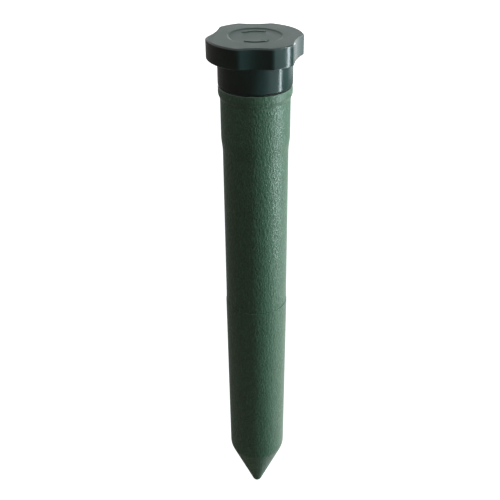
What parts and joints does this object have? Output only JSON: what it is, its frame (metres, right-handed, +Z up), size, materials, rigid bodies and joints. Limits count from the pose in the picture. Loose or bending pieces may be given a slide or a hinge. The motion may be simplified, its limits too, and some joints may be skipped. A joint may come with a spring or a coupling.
{
  "type": "burrowing animal repeller stake",
  "caption": "Battery-powered ground stake: conical spike with a buzzer motor, textured tube for D cells, and a lobed screw cap with a seal.",
  "frame": {"origin": "the point of the spike, on the tube's axis", "axes": "+Z up along the tube's axis towards the cap; -Y is the side the picture shows; +X to the right in it"},
  "size_m": [0.0636, 0.06, 0.4006],
  "materials": {
    "cap_plastic": "glossy dark green-black moulded plastic",
    "stake_plastic": "satin green plastic with a moulded wrinkle texture",
    "seal_rubber": "matt black rubber",
    "contact_brass": "stamped brass",
    "spring_steel": "bright plated steel",
    "cell_jacket": "plain unprinted cell jacket",
    "cradle_plastic": "matt moulded plastic",
    "board_laminate": "green solder mask",
    "chip_black": "matt black epoxy",
    "capacitor_sleeve": "dark blue shrink sleeve over aluminium",
    "resistor_coat": "tan lacquer",
    "motor_steel": "zinc-plated drawn steel",
    "ferrite": "dark sintered ferrite",
    "end_cap_plastic": "ivory nylon",
    "lead_red": "red insulation",
    "lead_black": "black insulation"
  },
  "bodies": {
    "tube": {"upper_tube": "stake_plastic", "lower_tube": "stake_plastic", "tube_joint_seal": "seal_rubber", "neck_contact_ring": "contact_brass", "return_strip": "contact_brass", "battery_1": "cell_jacket", "battery_2": "cell_jacket", "battery_3": "cell_jacket", "battery_4": "cell_jacket", "positive_contact": "contact_brass", "drive_cradle": "cradle_plastic", "circuit_board": "board_laminate", "timer_chip": "chip_black", "capacitor": "capacitor_sleeve", "drive_transistor": "chip_black", "bias_resistor": "resistor_coat", "motor_can": "motor_steel", "motor_magnet_front": "ferrite", "motor_magnet_back": "ferrite", "motor_end_cap": "end_cap_plastic", "motor_terminal_plus": "contact_brass", "motor_terminal_minus": "contact_brass", "cradle_screw_1": "spring_steel", "cradle_screw_2": "spring_steel", "motor_screw_1": "spring_steel", "motor_screw_2": "spring_steel", "motor_lead_red": "lead_red", "motor_lead_black": "lead_black", "battery_feed_lead": "lead_red"},
    "cap_seal": {"cap_seal_ring": "seal_rubber"},
    "cap": {"screw_cap": "cap_plastic", "cap_contact_cup": "contact_brass", "contact_rivet": "contact_brass", "battery_spring": "spring_steel"},
    "rotor": {"motor_armature": "motor_steel", "motor_shaft": "spring_steel", "eccentric_weight": "contact_brass"}
  },
  "joints": [
    {"name": "cap_lift", "type": "slide", "parent": "tube", "child": "cap_seal", "axis": [0, 0, 1], "range_m": [0, 0.009]},
    {"name": "cap_turn", "type": "hinge", "parent": "cap_seal", "child": "cap", "pos_m": [0, 0, 0.38], "axis": [0, 0, 1], "range_deg": [0, 720]},
    {"name": "motor_spin", "type": "hinge", "parent": "tube", "child": "rotor", "pos_m": [0, 0, 0.088], "axis": [0, 0, 1], "continuous": true}
  ],
  "couplings": [
    {"joint": "cap_lift", "follows": "cap_turn", "m_per_rad": 0.000716}
  ]
}
